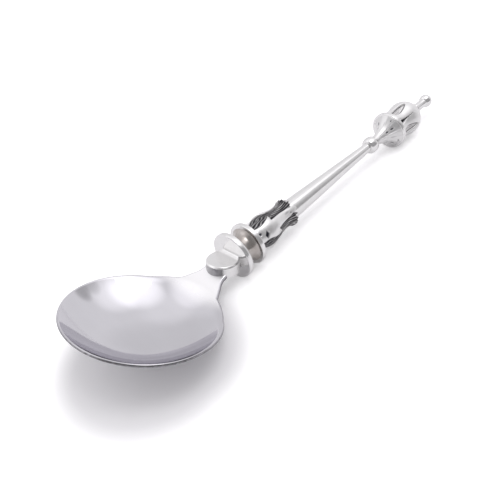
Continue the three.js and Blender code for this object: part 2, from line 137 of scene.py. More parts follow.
class SpoonSizes(bpy.types.PropertyGroup):
    """Lengths of the spoon's pieces."""

    bowl_width: length("Bowl width", "Across the bowl's rim", 68.0)
    bowl_length: length("Bowl length", "From heel to tip, in the rim's plane", 61.6)
    bowl_depth: length("Bowl depth", "Depth of the hollow below the rim's plane", 12.0)
    rim_sheet: length("Rim sheet", "Thickness of the sheet at the rim", 1.2)
    shank_sheet: length("Shank sheet", "Thickness of the sheet at the shank", 2.2)
    shank_width: length("Shank width", "Width of the shank where it enters the bolster", 11.2)
    tang_width: length("Tang width", "Width of the hidden tang", 6.4)
    heel_drop: length("Heel drop", "How far the bowl's heel lies below the handle's axis", 2.9)
    shank_length: length("Shank length", "From the bolster to the bowl's heel", 9.2)
    bolster_diameter: length("Bolster diameter", "Across the round tongue", 15.1)
    bolster_thickness: length("Bolster thickness", "Height of the tongue's wall", 5.7)
    bolster_bevel: length("Bolster bevel", "Bevel round the tongue's top", 0.7)
    bolster_sunk: length("Bolster sunk", "How far the tongue's circle runs into the collar", 1.95)
    bolster_top: length("Bolster top", "Height of the tongue's top over the axis", 2.5)
    collar_easing: length("Collar easing", "Rounding of the collars' edges", 0.5)
    spool_waist: length("Spool waist", "Diameter of the spool at its waist", 13.4)
    leaf_thickness: length("Leaf thickness", "How far the leaves stand over the dark core", 1.05)
    leaf_edge: length("Leaf edge", "Rounding along the leaves' edges", 0.6)
    tuft_lip: length("Tuft lip", "How far the tufts flare off the core", 1.8)
    groove_depth: length("Groove depth", "Depth of the engraved lines", 0.26)
    bead_diameter: length("Bead diameter", "Across the bead", 8.6)
    petal_height: length("Petal height", "How far the trumpet's petals stand proud", 0.24)
    bud_depth: length("Bud window depth", "Depth of the bud's windows", 0.95)


class SpoonTurns(bpy.types.PropertyGroup):
    """Angles of the spoon's pieces."""

    bowl_tilt: turn("Bowl tilt", "Slope of the rim's plane against the handle's axis", 18)
    tang_slope: turn("Tang slope", "Slope of the tang against the handle's axis", 8)
    bolster_tilt: turn("Bolster tilt", "Slope of the tongue's top, front end up", 10)
    leaf_turn: turn("Leaf turn", "Place of the first leaf's tip, from the top toward the viewer", 48)
    petal_turn: turn("Petal turn", "Place of the trumpet's first petal", 3)


class SpoonFinishes(bpy.types.PropertyGroup):
    """Colours and polish of the spoon's metals."""

    bowl_steel: colour("Bowl steel", "Mirror-polished stainless steel", (0.62, 0.612, 0.642))
    handle_metal: colour("Handle metal", "Bright plated white metal", (0.82, 0.815, 0.812))
    # Painted sheen: a brighter colour for the softbox light on the satin neck's top; the satin itself is
    # roughness
    neck_steel: colour("Neck steel", "Satin steel of the bowl's neck", (0.94, 0.933, 0.94))
    # Painted shade: the dull cut edge's dark colour stands for the shadowed table it mirrors
    cut_edge: colour("Cut edge", "Dull cut edge of the bowl's sheet", (0.13, 0.127, 0.135))
    # Painted shade: a brownish colour on the spool for the darker, warm reflections in its waist
    film: colour("Film", "Brownish film on the spool", (0.42, 0.385, 0.36))
    # Painted shade, partly tarnish: near black in pits, creases and valleys and on the bolster's wall by the
    # neck
    tarnish: colour("Tarnish", "Dark film left in pits and creases", (0.04, 0.042, 0.055))
    oxide: colour("Oxide", "Blackened floor of the engraved recesses", (0.026, 0.025, 0.029))
    worn_ridge: colour("Worn ridge", "Brighter metal on the ridges of the engraving", (0.68, 0.67, 0.67))
    inner_steel: colour("Inner steel", "Drawn steel of the hidden rod and pins", (0.56, 0.55, 0.54))
    bowl_roughness: share("Bowl roughness", "Mean roughness of the bowl", 0.08)
    neck_roughness: share("Neck roughness", "How much rougher the satin neck is than the bowl", 0.3)
    handle_roughness: share("Handle roughness", "Mean roughness of the handle's turned pieces", 0.17)
    bud_roughness: share("Bud roughness", "How much rougher the cast trumpet and bud are", 0.24)


class SpoonStage(bpy.types.PropertyGroup):
    """Floor, surroundings and camera."""

    floor: colour("Floor", "White table top", (0.9, 0.893, 0.905))
    surroundings: colour("Surroundings", "Pale room", (0.95, 0.94, 0.962))
    lens: bpy.props.FloatProperty(
        name="Lens", description="Focal length", default=51.17, subtype="DISTANCE_CAMERA")


def lengths(context):
    """The spoon's lengths by name, in millimetres."""
    group = context.scene.spoon_sizes
    return SimpleNamespace(**{name: getattr(group, name) / MM for name in SpoonSizes.__annotations__})


# Meshes from grids of points

def placed(points):
    """Handle-frame points in mm turned into row-frame points in metres.

    Points below the table are lifted to it, which gives the collars the flats they rest on.
    """
    spots = START + (points * MM) @ AXES
    spots[..., 2] = np.maximum(spots[..., 2], 0)
    return spots


def grid_mesh(name, points, looped=False, **attributes):
    """A closed mesh from a grid of row-frame points.

    Each cell of the grid is one face. Columns close on themselves, and rows do so when looped. Points that
    fall together at a pole are merged, and the faces then turned outward.
    """
    rows, columns = points.shape[:2]
    number = np.arange(rows * columns).reshape(rows, columns)
    if looped:
        number = np.concatenate((number, number[:1]))
    number = np.concatenate((number, number[:, :1]), axis=1)
    corners = (number[:-1, :-1], number[:-1, 1:], number[1:, 1:], number[1:, :-1])
    faces = np.stack(corners, axis=-1).reshape(-1, len(corners))
    mesh = bpy.data.meshes.new(name)
    mesh.vertices.add(rows * columns)
    mesh.vertices.foreach_set("co", points.ravel())
    mesh.loops.add(faces.size)
    mesh.loops.foreach_set("vertex_index", faces.ravel())
    mesh.polygons.add(len(faces))
    mesh.polygons.foreach_set("loop_start", np.arange(0, faces.size, len(corners)))
    mesh.update(calc_edges=True)
    for label, values in attributes.items():
        layer = mesh.attributes.new(label, "FLOAT", "POINT")
        layer.data.foreach_set("value", np.broadcast_to(values, (rows, columns)).ravel())
    shell = bmesh.new()
    shell.from_mesh(mesh)
    bmesh.ops.remove_doubles(shell, verts=shell.verts, dist=MERGE_REACH)
    bmesh.ops.recalc_face_normals(shell, faces=shell.faces)
    shell.to_mesh(mesh)
    shell.free()
    mesh.shade_smooth()
    mesh.set_sharp_from_angle(angle=SHARP_ANGLE)
    return mesh


def add_piece(context, node, slot, points, **grid):
    """Puts a piece into the scene in place of a CAD node, riding on the spoon's one body.

    It has the node's name with a capital, a mesh from a grid of handle-frame points, and the slot's finish.
    """
    name = node.capitalize()
    mesh = grid_mesh(name, placed(points), **grid)
    mesh.materials.append(finish_of(context, slot))
    piece = bpy.data.objects.new(name, mesh)
    context.scene.collection.objects.link(piece)
    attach(piece, "root")
    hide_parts(node)


def add_sleeve(context, node, slot, along, radius, bore, **fields):
    """A cast piece from a height field: rows along the axis, columns round it, and the radius at each.

    One more row at each end falls to the bore, where a field is 0 unless it has one value all over.
    """
    rows = np.concatenate((along[:1], along, along[-1:]))
    ends = np.full_like(radius[:1], bore)
    radius = np.concatenate((ends, radius, ends))
    for label, field in fields.items():
        if np.ndim(field):
            fields[label] = np.pad(field, ((1, 1), (0, 0)))
    points = around(rows, radius, circle(radius.shape[1]))
    add_piece(context, node, slot, points, looped=True, **fields)


def portion(value, low, high):
    """0 below low, 1 above high, and a straight rise between them."""
    return np.clip((value - low) / (high - low), 0, 1)


def ramp(value, low, high):
    """0 below low, 1 above high, and a smooth cubic rise between them."""
    step = portion(value, low, high)
    return step * step * (3 - 2 * step)


def soft_ramp(value, reach):
    """0 below -reach, the value itself above reach, and a parabola that joins them."""
    bend = (value + reach) ** 2 / (4 * reach)
    return np.where(value <= -reach, 0, np.where(value >= reach, value, bend))


def bell(value, half):
    """1 at 0, falling on both sides with the exponent of minus the square of the value over half."""
    return np.exp(-(value / half) ** 2)


def quarter_round(inside):
    """Height of a quarter circle over its base: 0 at the edge, 1 from one radius inside it."""
    return np.sqrt(1 - (1 - np.clip(inside, 0, 1)) ** 2)


def smooth_line(knots, at):
    """A smooth curve through (place, height) knots: cubic pieces with the slopes between neighbours."""
    places, heights = np.asarray(knots, float).T
    slopes = np.gradient(heights, places)
    at = np.clip(at, places[0], places[-1])
    piece = np.clip(np.searchsorted(places, at) - 1, 0, len(places) - 2)
    width = places[piece + 1] - places[piece]
    t = (at - places[piece]) / width
    return (heights[piece] * (1 + 2 * t) * (1 - t) ** 2 + heights[piece + 1] * t * t * (3 - 2 * t)
            + width * t * (1 - t) * (slopes[piece] * (1 - t) - slopes[piece + 1] * t))


def eased_line(corners, easing, steps=7, hold=1.12):
    """A line through corner points, each replaced by a parabola that leaves the straights by easing before
    and after it. One more point, hold times as far off, keeps each straight flat up to its parabola."""
    corners = np.asarray(corners, float)
    easing = np.broadcast_to(np.asarray(easing, float), (len(corners) - 2,))[:, None, None]
    t = np.linspace(0, 1, steps)[None, :, None]
    inner = corners[1:-1]
    back = unit(corners[:-2] - inner)[:, None] * easing
    onward = unit(corners[2:] - inner)[:, None] * easing
    bends = (1 - t) ** 2 * back + t ** 2 * onward
    rounds = inner[:, None] + np.concatenate((hold * back, bends, hold * onward), axis=1)
    return np.concatenate((corners[:1], rounds.reshape(-1, 2), corners[-1:]))


def circle(columns):
    """Angles round the axis, from the top toward the viewer's side."""
    return np.arange(columns) * FULL_TURN / columns


def around(along, radius, angle):
    """Points at a distance along the axis and at a radius from it, turned by the angle from the top."""
    along, radius, angle = np.broadcast_arrays(along, radius, angle)
    return np.stack((along, -radius * np.sin(angle), radius * np.cos(angle)), axis=-1)


def turned(line, columns):
    """A line of (along, radius) points turned about the axis: one row per point, one column per angle."""
    return around(line[:, :1], line[:, 1:], circle(columns))


def bored(along, radius, bore):
    """A line of (along, radius) points with one more at each end, at the bore's radius."""
    line = np.stack((along, radius), axis=-1)
    return np.concatenate(([(along[0], bore)], line, [(along[-1], bore)]))


def drawn_out(along):
    """Rows along the axis, of which the first and the last are moved out to meet the neighbours."""
    rows = along.copy()
    rows[0] -= SNUG
    rows[-1] += SNUG
    return rows


def nearest_turn(angle, first, count):
    """Angle from the nearest of count equal divisions of the circle, the first of which stands at first."""
    sector = FULL_TURN / count
    return (angle - first + sector / 2) % sector - sector / 2


class Mark(NamedTuple):
    """A dent struck into a cast skin: its place, reach and depth in mm, and its share of painted shade,
    partly tarnish.
    """

    along: float
    aside: float
    reach_along: float
    reach_aside: float
    depth: float
    film: float

    def dent(self, along, aside):
        """1 at the mark's middle, 0 outside: a bell of the fourth power of the distance over the reach."""
        ahead, beside = (along - self.along) / self.reach_along, (aside - self.aside) / self.reach_aside
        return np.exp(-(ahead ** 2 + beside ** 2) ** 2)


def struck(marks, along, aside):
    """Depth and painted shade of marks at each place: their depths added up, and the strongest shade."""
    dents = [mark.dent(along, aside) for mark in marks]
    depth = sum(mark.depth * dent for mark, dent in zip(marks, dents))
    film = np.maximum.reduce([mark.film * dent for mark, dent in zip(marks, dents)])
    return depth, film


# Bowl

class Blank:
    """The blank of bowl, neck, shank and tang, in the bowl's frame: forward to the tip, aside, above."""

    # The hollow's wall, and how neck, shank and tang run on from it
    fullness = 2.5
    floor_rounding = 0.2
    shank_blend = 3.0
    neck_blend = 2.0
    least_blend = 1e-4
    neck_start = 0.6
    neck_rounding = 3
    shank_flare = 0.7
    tang_end_at = 9.0
    shoulder_inset = 3.5
    edge_bulge = 0.75
    # The satin neck with its painted sheen in shares of the half length, and the cut edge's painted shade
    # in rows past the upper face
    satin_from = (0.82, 1.04)
    cut_from, cut_to = (1, 4), (8, 11)
    # Points of the outline's stretches, and rows of the faces and of the edge between them
    ellipse_points, neck_points, tang_points, corner_points = 150, 80, 24, 8
    ellipse_turn = 0.7 * math.pi
    upper_rows, edge_rows, lower_rows = 90, 9, 60
    slope_step = 0.02

    def __init__(self, size, turns):
        self.size = size
        self.tilt = turns.bowl_tilt
        self.half_length = size.bowl_length / 2
        self.half_width = size.bowl_width / 2
        front = size.bolster_diameter - size.bolster_sunk
        self.reach = front + size.shank_length + self.half_length * math.cos(self.tilt)
        self.rise = self.half_length * math.sin(self.tilt) - size.heel_drop
        self.fold = math.tan(self.tilt + turns.tang_slope)
        self.tang_top = self.to_bowl(0, size.shank_sheet / 2 / math.cos(turns.tang_slope))
        self.shank_front = self.to_bowl(-front, 0)[0]
        self.shoulder = self.to_bowl(self.shoulder_inset - front, 0)[0]
        self.tang_end = self.to_bowl(self.tang_end_at, 0)[0]

    def to_bowl(self, along, up):
        """Handle-frame place on the spoon's middle plane, turned by the tilt into the bowl's frame."""
        x, z = along + self.reach, up - self.rise
        cos, sin = math.cos(self.tilt), math.sin(self.tilt)
        return -x * cos + z * sin, x * sin + z * cos

    def to_handle(self, points):
        """Bowl-frame points turned by the tilt into the handle's frame."""
        forward, aside, above = np.moveaxis(points, -1, 0)
        cos, sin = math.cos(self.tilt), math.sin(self.tilt)
        along = -self.reach - forward * cos + above * sin
        return np.stack((along, aside, self.rise + forward * sin + above * cos), axis=-1)

    def neck_share(self, forward):
        """0 in the front half of the bowl, rising smoothly to 1 at the heel and behind it."""
        return ramp(-forward / self.half_length, 0, 1)

    def half_width_at(self, forward):
        """Half width of the blank: a power mean of the bowl's ellipse and the flared shank."""
        ellipse = self.half_width * np.sqrt(np.clip(1 - (forward / self.half_length) ** 2, 0, 1))
        flare = self.shank_flare * soft_ramp(forward - self.shank_front, self.neck_blend)
        started = ramp(-forward, self.neck_start * self.half_length, self.half_length)
        shank = (self.size.shank_width / 2 + flare) * started
        return (ellipse ** self.neck_rounding + shank ** self.neck_rounding) ** (1 / self.neck_rounding)

    def top(self, forward, aside):
        """Height of the upper face: the shank's straight rise, less the depth of the hollow.

        The wall rises with a power of the elliptical distance from the hollow's middle, rounded at the
        floor, and runs out softly into the neck.
        """
        spine = soft_ramp(self.tang_top[1] - self.fold * (forward - self.tang_top[0]), self.shank_blend)
        distance = np.hypot(forward / self.half_length, aside / self.half_width)
        power, low = self.fullness / 2, self.floor_rounding ** 2
        lift = ((distance ** 2 + low) ** power - low ** power) / ((1 + low) ** power - low ** power)
        blend = self.neck_blend * self.neck_share(forward) + self.least_blend
        return spine - soft_ramp(self.size.bowl_depth * (1 - lift), blend)

    def normal(self, forward, aside):
        """Unit normal of the upper face, from the slopes of its height."""
        step = self.slope_step
        fall = (self.top(forward - step, aside) - self.top(forward + step, aside)) / (2 * step)
        lean = (self.top(forward, aside - step) - self.top(forward, aside + step)) / (2 * step)
        return unit(np.stack((fall, lean, np.ones_like(fall)), axis=-1))

    def outline(self):
        """The blank's edge: the ellipse from the tip, the neck and shank, the shoulder, and the tang.

        One half is worked out from tip to tang, and the other is its mirror image.
        """
        tang_half = self.size.tang_width / 2
        bowl = self.half_length * np.cos(np.linspace(0, self.ellipse_turn, self.ellipse_points))
        neck = np.linspace(bowl[-1], self.shoulder, self.neck_points)[1:]
        forward = np.concatenate((bowl, neck))
        aside = self.half_width_at(forward)
        shoulder = np.linspace(aside[-1], tang_half, self.corner_points)[1:]
        tang = np.linspace(self.shoulder, self.tang_end, self.tang_points)[1:]
        end = np.linspace(tang_half, 0, self.corner_points)[1:]
        forward = np.concatenate(
            (forward, np.full(shoulder.shape, self.shoulder), tang, np.full(end.shape, self.tang_end)))
        aside = np.concatenate((aside, shoulder, np.full(tang.shape, tang_half), end))
        return np.concatenate((forward, forward[-2:0:-1])), np.concatenate((aside, -aside[-2:0:-1]))

    def points(self):
        """Rows from the middle of the hollow out to the edge, round the edge, and back below to the middle.

        The upper face scales the outline from its middle. The lower face lies one sheet thickness below it
        along the normal, and the edge is a flattened half round between the two.
        """
        forward, aside = self.outline()
        rows = self.upper_rows
        scale = np.concatenate((np.linspace(0, 1, rows), np.linspace(1, 0, self.lower_rows)))[:, None]
        f, a = scale * forward, scale * aside
        face = np.stack((f, a, self.top(f, a)), axis=-1)
        normal = self.normal(f, a)
        thicker = self.size.shank_sheet - self.size.rim_sheet
        sheet = (self.size.rim_sheet + thicker * self.neck_share(f))[..., None]
        below = face[rows:] - sheet[rows:] * normal[rows:]
        edge, top, half = face[rows - 1], normal[rows - 1], sheet[rows - 1] / 2
        heading = np.roll(edge, -1, axis=0) - np.roll(edge, 1, axis=0)
        outward = unit(np.cross(heading, top))
        outward *= np.sign(np.sum(outward * edge, axis=-1, keepdims=True))
        bend = np.linspace(0, math.pi, self.edge_rows + 2)[1:-1, None, None]
        bulge = self.edge_bulge * np.sqrt(np.sin(bend)) * outward
        rim = edge - half * top + half * (np.cos(bend) * top + bulge)
        return self.to_handle(np.concatenate((face[:rows], rim, below)))

    def satin(self, points):
        """Share of the satin and its painted sheen: 0 in the bright hollow, rising smoothly to 1 on the
        neck's top.
        """
        forward = self.to_bowl(points[..., 0], points[..., 2])[0]
        on_top = np.arange(len(points))[:, None] < self.upper_rows
        return on_top * ramp(-forward / self.half_length, *self.satin_from)

    def cut_edge(self, points):
        """Share of the dull cut edge's painted shade, near black for the shadowed table it mirrors: 1 on the
        lower rows of the rim's half round, 0 elsewhere.
        """
        row = np.arange(len(points))[:, None] - self.upper_rows
        return ramp(row, *self.cut_from) * (1 - ramp(row, *self.cut_to))


class SPOON_OT_bowl(bpy.types.Operator):
    """Press the bowl, neck, shank and tang from one steel blank"""

    bl_idname = "spoon.bowl"
    bl_label = "Bowl"

    def execute(self, context):
        blank = Blank(lengths(context), context.scene.spoon_turns)
        points = blank.points()
        add_piece(context, "bowl", "bowl_steel", points,
                  satin=blank.satin(points), cut_edge=blank.cut_edge(points))
        return {"FINISHED"}


# Bolster, collars, spool

class SPOON_OT_bolster(bpy.types.Operator):
    """Make the round tongue with its bevelled top in front of the collars"""

    bl_idname = "spoon.bolster"
    bl_label = "Bolster"
    columns, flat_rows, flat_share = 288, 26, 0.97
    easings, easing_steps = (0.18, 0.22, 0.5), 6
    fillet_rise, fillet_run, sunk = 1.3, 2.6, 0.3
    film_turns, film_share = (38, 52), 0.6
    fillet_bevels, film_bevels = 2, 1.5
    least_cosine = 1e-3

    def execute(self, context):
        """A turned line of (distance, height), cut at the collar's face and lifted to it by a hollow fillet.

        Painted shade darkens the wall where it faces the bowl, within a turn from the middle, for the crease
        at the neck.
        """
        size, tilt = lengths(context), context.scene.spoon_turns.bolster_tilt
        cos, sin = math.cos(tilt), math.sin(tilt)
        radius, top, bevel = size.bolster_diameter / 2, size.bolster_top, size.bolster_bevel
        under = top - size.bolster_thickness
        reach = radius - size.bolster_sunk
        side = eased_line(
            [(0, top), (radius - bevel, top), (radius, top - bevel), (radius, under), (0, under)],
            self.easings, self.easing_steps)
        inner = np.linspace(0, self.flat_share, self.flat_rows)[:, None]
        upper_face = inner * (side[1] - side[0]) + side[0]
        lower_face = (1 - inner[1:]) * (side[-2] - side[-1]) + side[-1]
        distance, height = np.hsplit(np.concatenate((upper_face, side[1:-1], lower_face)), 2)
        angle = circle(self.columns)
        limit = (reach + self.sunk) / np.maximum(np.cos(angle), self.least_cosine) / cos
        distance = np.minimum(distance, np.where(np.cos(angle) > 0, limit, np.inf))
        ahead = distance * np.cos(angle)
        near = np.clip(1 + (ahead * cos - reach) / self.fillet_run, 0, 1)
        upper = ramp(height, top - self.fillet_bevels * bevel, top)
        lifted = height + self.fillet_rise * near ** 2 * upper
        along = np.minimum(-reach + ahead * cos + lifted * sin, self.sunk)
        points = np.stack((along, distance * np.sin(angle), -ahead * sin + lifted * cos), axis=-1)
        # Painted shade on the wall where it faces the bowl: the crease at the neck
        wall = 1 - ramp(height, top - self.film_bevels * bevel, top - bevel)
        facing = 1 - ramp(np.abs(np.degrees(angle) - 180), *self.film_turns)
        add_piece(context, "bolster", "handle_metal", points, hollow=self.film_share * wall * facing)
        return {"FINISHED"}


def ring_line(node, easing, crown=0.06, rim_points=9):
    """Section of a collar over the rod: flat faces, eased edges and a rim crowned by a parabola."""
    first, last = stations(node)
    first, last, radius = first - SNUG, last + SNUG, girth(node)
    rim = np.linspace(first, last, rim_points)[1:-1]
    bulge = crown * (1 - (2 * (rim - first) / (last - first) - 1) ** 2)
    corners = [(first, ROD_BORE), (first, radius - crown), (last, radius - crown), (last, ROD_BORE)]
    line = eased_line(corners, easing)
    half = len(line) // 2
    flat = np.stack((rim, radius - crown + bulge), axis=-1)
    flat = flat[(rim > first + easing) & (rim < last - easing)]
    return np.concatenate((line[:half], flat, line[half:]))


class SPOON_OT_collars(bpy.types.Operator):
    """Turn the front, rear and bud collars"""

    bl_idname = "spoon.collars"
    bl_label = "Collars"
    columns = 288

    def execute(self, context):
        easing = lengths(context).collar_easing
        for node in ("front_collar", "rear_collar", "bud_collar"):
            points = turned(ring_line(node, easing), self.columns)
            add_piece(context, node, "handle_metal", points, looped=True)
        return {"FINISHED"}


class SPOON_OT_spool(bpy.types.Operator):
    """Turn the waisted spool between the collars"""

    bl_idname = "spoon.spool"
    bl_label = "Spool"
    columns, rows = 240, 61
    waist_power, bore = 2.6, 4.3

    def execute(self, context):
        """Radius is the waist's, rising with a power of the distance from the middle. All of it has the
        brownish painted shade, for the darker warm reflections in its waist.
        """
        first, last = stations("spool")
        waist, end = lengths(context).spool_waist / 2, girth("spool")
        way = np.linspace(-1, 1, self.rows)
        along = (first + last) / 2 + ((last - first) / 2 + SNUG) * way
        radius = waist + (end - waist) * np.abs(way) ** self.waist_power
        points = turned(bored(along, radius, self.bore), self.columns)
        add_piece(context, "spool", "handle_metal", points, looped=True, film=1.0)
        return {"FINISHED"}


# Calyx: polished leaves over a dark, engraved core. Places are mm from the calyx's foot, turns are degrees.

LEAVES = 3
HALF_SECTOR = 180 / LEAVES
CALYX_COLUMNS = 480
LEAF_LINE = [(0, 6.3), (2, 6.6), (4.5, 7.5), (8.4, 8.4), (12, 8.05), (16.2, 7.05), (20, 6.3), (24, 6.0),
             (26.5, 5.95), (31, 5.35), (34, 5.2)]
LEAF_HALF = [(10, 23), (12.4, 22), (14.5, 21.5), (17, 22), (20.5, 22), (22.5, 21), (24.2, 19), (25.6, 16.5),
             (26.8, 12.5), (27.6, 7), (28.1, -1), (30, -40), (34, -120)]
LEAF_TIP = 30.9
FOOT_TWIST, TWIST_FROM, TWIST_TO = 5.0, 8.0, 18.0
# The windows at the foot, the spurs and notches behind them, and how these lean and slope
WINDOW_FOOT, WINDOW_WIDEST, WINDOW_HALF, WINDOW_TAPER = 1.0, 5.6, 30.5, 1.5
SPUR_AT, SPUR_HALF, SPUR_SLOPE = 14.1, 12.0, 0.8
NOTCH_AT, NOTCH_HALF = 12.3, 38.5
SPUR_LEAN, LEAN_FADE = 0.034, 25
# A leaf's crowned middle, the pits and dimples on it, and a slanting diamond
CROWN_RISE, CROWN_HALF, CROWN_FROM, CROWN_TO = 0.22, 2.8, (9, 14), (24, 30)
LEAF_MARKS = (
    Mark(2.7, -0.7, 0.78, 0.8, depth=0.7, film=1.0),
    Mark(20.7, -0.1, 1.5, 0.55, depth=0.14, film=0.25),
    Mark(23.4, 0.75, 0.42, 0.36, depth=0.4, film=1.0),
)
DIAMOND_ALONG, DIAMOND_ASIDE, DIAMOND_SLANT, DIAMOND_WIDTH = 5.4, 1.1, 0.25, 1.7
DIAMOND_REACH, DIAMOND_WALL, DIAMOND_DEPTH = 1.35, 0.6, 0.55
# The core's tufts: where their lines, their flare and their ragged ends begin, and where the flare fades
TUFT_FROM, FLARE_FROM, FLARE_FADE, RAGGED_FROM = (12.5, 15), 16.5, (40, 48), 20
# Pitch of the engraved lines, then swing in pitches and length in mm of each wave that bends them
WINDOW_PITCH, LONG_SWING, LONG_WAVE, SHORT_SWING, SHORT_WAVE = 1.25, 0.35, 1.9, 0.22, 0.8
TUFT_PITCH, TUFT_SWING, TUFT_WAVE, STRAY_SWING, STRAY_WAVE = 0.9, 0.25, 3.1, 0.1, 1 / 9
SIDE_SHIFT, SHORT_SLANT = 1.3, 1.7
# Shares of the lines' depth and of their brightness in the windows, and what the tufts have more
GROOVE_SHARE, GROOVE_MORE, BRIGHT_SHARE, BRIGHT_MORE = 0.6, 0.8, 0.8, 0.5
# Uneven wear of the ridges: its least and its swing, its waves across and along, and how narrow it keeps to
WEAR_LEAST, WEAR_SWING, WEAR_ACROSS, WEAR_ALONG, WEAR_NARROW = 0.55, 0.45, 2.3, 0.45, 4
# Length of the ragged points, their number over half a turn and their shift, and how far they start back
POINTS, POINTS_BACK = ((1.5, 15, 0), (0.9, 24, 1)), 2.2


def twisted(turn_at_tip, along):
    """The leaves' turn, which is greater by the foot's twist at the foot and eases to the tip's turn."""
    return turn_at_tip + math.radians(FOOT_TWIST) * (1 - ramp(along, TWIST_FROM, TWIST_TO))


def leaf_opening(along, leaf_turn, radius):
    """How far a point lies inside the opening between two leaves, in mm; negative on a leaf.

    The opening joins two shapes. The window is an ellipse at its foot and narrows behind its widest place
    to the gap between the spurs. The tuft's place lies behind the slanting line from spur to notch and
    beside the leaf, whose half width follows its own line. Spurs and notches lean along with the turn.
    """
    off = HALF_SECTOR - np.abs(np.degrees(leaf_turn))
    scale = np.radians(radius)
    foot = np.hypot((WINDOW_WIDEST - along) / (WINDOW_WIDEST - WINDOW_FOOT), off / WINDOW_HALF)
    back = portion(along, WINDOW_WIDEST, SPUR_AT)
    half = SPUR_HALF + (WINDOW_HALF - SPUR_HALF) * (1 - back ** 2) ** WINDOW_TAPER
    window = np.where(along < WINDOW_WIDEST, (1 - foot) * WINDOW_HALF, half - off) * scale
    leaned = along - SPUR_LEAN * np.degrees(leaf_turn) * ramp(off, 0, LEAN_FADE)
    beside = (HALF_SECTOR - smooth_line(LEAF_HALF, leaned) - off) * scale
    line = np.interp(off, (SPUR_HALF, NOTCH_HALF), (SPUR_AT, NOTCH_AT))
    tuft = np.minimum(beside, (leaned - line) * SPUR_SLOPE)
    return np.maximum(window, tuft)


def leaf_diamond(along, aside):
    """1 on the floor of the leaf's diamond, 0 outside: a smooth wall of the sum of both distances."""
    beside = aside - DIAMOND_ASIDE
    ahead = along - DIAMOND_ALONG + DIAMOND_SLANT * beside
    return ramp(DIAMOND_REACH - np.abs(ahead) - np.abs(beside) / DIAMOND_WIDTH, 0, DIAMOND_WALL)


def engraved_lines(along, aside, side, tuft):
    """Ridges between engraved lines, 1 on top and 0 in the groove: a cosine of the place across.

    In the windows a long and a short wave bend them. On the tufts they lie closer and swing less.
    """
    waves = (LONG_SWING * np.sin(along / LONG_WAVE + SIDE_SHIFT * side)
             + SHORT_SWING * np.sin(along / SHORT_WAVE + SHORT_SLANT * aside))
    strays = TUFT_SWING * np.sin(along / TUFT_WAVE) + STRAY_SWING * np.sin(aside / STRAY_WAVE)
    in_window = np.cos(FULL_TURN * (aside / WINDOW_PITCH + waves))
    on_tuft = np.cos(FULL_TURN * (aside / TUFT_PITCH + strays))
    return 0.5 + 0.5 * (in_window * (1 - tuft) + on_tuft * tuft)


def ragged_points(angle):
    """How far the tufts' points reach past the core's end: two rows of points, each 1 less a sine's size."""
    reach = sum(size * (1 - np.abs(np.sin(angle * count + shift))) for size, count, shift in POINTS)
    return reach - POINTS_BACK


class SPOON_OT_calyx(bpy.types.Operator):
    """Cast the polished leaf sleeve and the dark engraved core under it"""

    bl_idname = "spoon.calyx"
    bl_label = "Calyx"
    leaf_rows, leaf_bore, leaf_sunk, leaf_satin = 172, 4.4, 0.4, 0.7
    core_rows, core_bore, core_least = 176, 4.3, 5.1

    def execute(self, context):
        size, first_turn = lengths(context), context.scene.spoon_turns.leaf_turn
        foot, end = stations("calyx_core")
        self.make_leaves(context, size, first_turn, foot)
        self.make_core(context, size, first_turn, foot, end - foot)
        return {"FINISHED"}

    def make_leaves(self, context, size, first_turn, foot):
        """A height field round the axis: leaf line where there is leaf, below the core where there is none.

        Edges are quarter rounds of the depth into the leaf. Its middle is crowned by a parabola, and marks
        and a diamond are taken off.
        """
        along = np.linspace(0, LEAF_TIP, self.leaf_rows)[:, None]
        leaf_turn = nearest_turn(circle(CALYX_COLUMNS), twisted(first_turn, along), LEAVES)
        over = smooth_line(LEAF_LINE, along)
        under = over - size.leaf_thickness - self.leaf_sunk
        rounding = quarter_round(-leaf_opening(along, leaf_turn, over) / size.leaf_edge)
        aside = leaf_turn * over
        crown = CROWN_RISE * (1 - (aside / CROWN_HALF) ** 2)
        crown = crown * ramp(along, *CROWN_FROM) * (1 - ramp(along, *CROWN_TO))
        depth, film = struck(LEAF_MARKS, along, aside)
        diamond = leaf_diamond(along, aside)
        radius = under + (over + crown - under) * rounding - (depth + DIAMOND_DEPTH * diamond) * rounding
        # Painted shade, partly tarnish, in the pits and on the diamond's floor
        add_sleeve(context, "calyx_leaves", "handle_metal", foot - SNUG + along, radius, self.leaf_bore,
                   hollow=np.maximum(film, diamond), satin=self.leaf_satin)

    def make_core(self, context, size, first_turn, foot, reach):
        """A height field under the leaves: their line less their thickness, flared with the square of the
        way to the end in the openings, drawn into ragged points at its end, and engraved lengthwise."""
        angle = circle(CALYX_COLUMNS)
        along = np.linspace(0, reach, self.core_rows)[:, None]
        leaf_turn = nearest_turn(angle, twisted(first_turn, along), LEAVES)
        off = HALF_SECTOR - np.abs(np.degrees(leaf_turn))
        side = np.sign(leaf_turn)
        floor = np.maximum(smooth_line(LEAF_LINE, along) - size.leaf_thickness, self.core_least)
        flare = size.tuft_lip * portion(along, FLARE_FROM, reach) ** 2 * (1 - ramp(off, *FLARE_FADE))
        aside = side * np.radians(off) * floor
        tuft = ramp(along, *TUFT_FROM)
        ridge = engraved_lines(along, aside, side, tuft)
        relief = size.groove_depth * (ridge - 0.5) * (GROOVE_SHARE + GROOVE_MORE * tuft)
        ragged = ragged_points(angle) * portion(along, RAGGED_FROM, reach) ** 2
        wear = WEAR_LEAST + WEAR_SWING * np.sin(aside * WEAR_ACROSS + along * WEAR_ALONG) ** 2
        bright = ridge ** WEAR_NARROW * wear * (BRIGHT_SHARE + BRIGHT_MORE * tuft)
        add_sleeve(context, "calyx_core", "dark_recess", foot + along + ragged, floor + flare + relief,
                   self.core_bore, ridge=bright)


# Stem and bead

